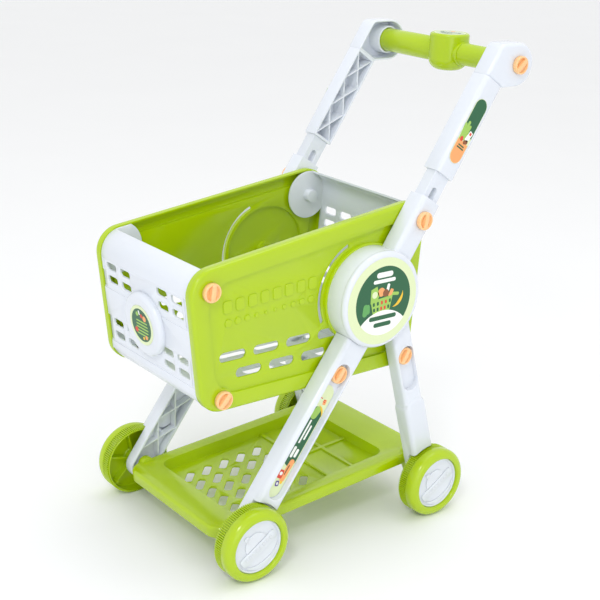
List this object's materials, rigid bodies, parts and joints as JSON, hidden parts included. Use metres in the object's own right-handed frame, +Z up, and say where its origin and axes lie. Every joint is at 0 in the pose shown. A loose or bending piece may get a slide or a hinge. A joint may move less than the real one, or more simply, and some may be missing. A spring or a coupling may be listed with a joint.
{
  "type": "toy shopping cart",
  "caption": "Child's plastic shopping cart: open basket on two round-hub side frames, lower tray, rolling wheels and a push handle that slides down to a lower height.",
  "frame": {"origin": "on the floor under the middle of the overall length and width", "axes": "+Z up, -Y toward the front of the cart, +Y toward the handle, +X toward the left hand of whoever pushes"},
  "size_m": [0.295, 0.4773, 0.5957],
  "materials": {
    "green_plastic": "glossy moulded lime green plastic",
    "white_plastic": "glossy moulded cool white plastic",
    "orange_plastic": "glossy moulded orange plastic",
    "printed_label": "printed plastic film label with a satin face",
    "steel": "zinc plated steel fasteners"
  },
  "bodies": {
    "cart": {"arm_lock_screw_left": "orange_plastic", "arm_lock_screw_right": "orange_plastic", "axle_pins": "orange_plastic", "axle_push_nuts": "steel", "axle_screws": "steel", "basket_floor": "white_plastic", "bottom_tray": "green_plastic", "front_label": "printed_label", "front_leg_left": "white_plastic", "front_leg_right": "white_plastic", "front_medallion": "white_plastic", "front_panel": "white_plastic", "hub_bolts": "steel", "hub_cover_left": "white_plastic", "hub_cover_right": "white_plastic", "hub_frame_left": "white_plastic", "hub_frame_right": "white_plastic", "hub_label_left": "printed_label", "hub_label_right": "printed_label", "hub_nuts": "steel", "leg_label_left": "printed_label", "leg_label_right": "printed_label", "leg_screws": "orange_plastic", "panel_screws": "orange_plastic", "rear_leg_left": "white_plastic", "rear_leg_right": "white_plastic", "rear_panel": "white_plastic", "side_panel_left": "green_plastic", "side_panel_right": "green_plastic"},
    "handle": {"upper_arm_left": "white_plastic", "upper_arm_right": "white_plastic", "elbow_left": "white_plastic", "elbow_right": "white_plastic", "arm_label_left": "printed_label", "arm_label_right": "printed_label", "handle_grip": "green_plastic", "handle_tube": "green_plastic", "handle_drum": "green_plastic", "drum_label": "printed_label", "handle_screws": "orange_plastic"},
    "front_left_wheel_set": {"front_wheel_left": "green_plastic", "front_wheel_cap_left": "white_plastic"},
    "front_right_wheel_set": {"front_wheel_right": "green_plastic", "front_wheel_cap_right": "white_plastic"},
    "rear_left_wheel_set": {"rear_wheel_left": "green_plastic", "rear_wheel_cap_left": "white_plastic"},
    "rear_right_wheel_set": {"rear_wheel_right": "green_plastic", "rear_wheel_cap_right": "white_plastic"}
  },
  "joints": [
    {"name": "handle_slide", "type": "slide", "parent": "cart", "child": "handle", "axis": [0, 0.5446, 0.8387], "range_m": [-0.033, 0]},
    {"name": "front_left_wheel_spin", "type": "hinge", "parent": "cart", "child": "front_left_wheel_set", "pos_m": [0.1333, -0.1665, 0.045], "axis": [1, 0, 0], "continuous": true},
    {"name": "front_right_wheel_spin", "type": "hinge", "parent": "cart", "child": "front_right_wheel_set", "pos_m": [-0.1333, -0.1665, 0.045], "axis": [1, 0, 0], "continuous": true},
    {"name": "rear_left_wheel_spin", "type": "hinge", "parent": "cart", "child": "rear_left_wheel_set", "pos_m": [0.1333, 0.118, 0.045], "axis": [1, 0, 0], "continuous": true},
    {"name": "rear_right_wheel_spin", "type": "hinge", "parent": "cart", "child": "rear_right_wheel_set", "pos_m": [-0.1333, 0.118, 0.045], "axis": [1, 0, 0], "continuous": true}
  ]
}
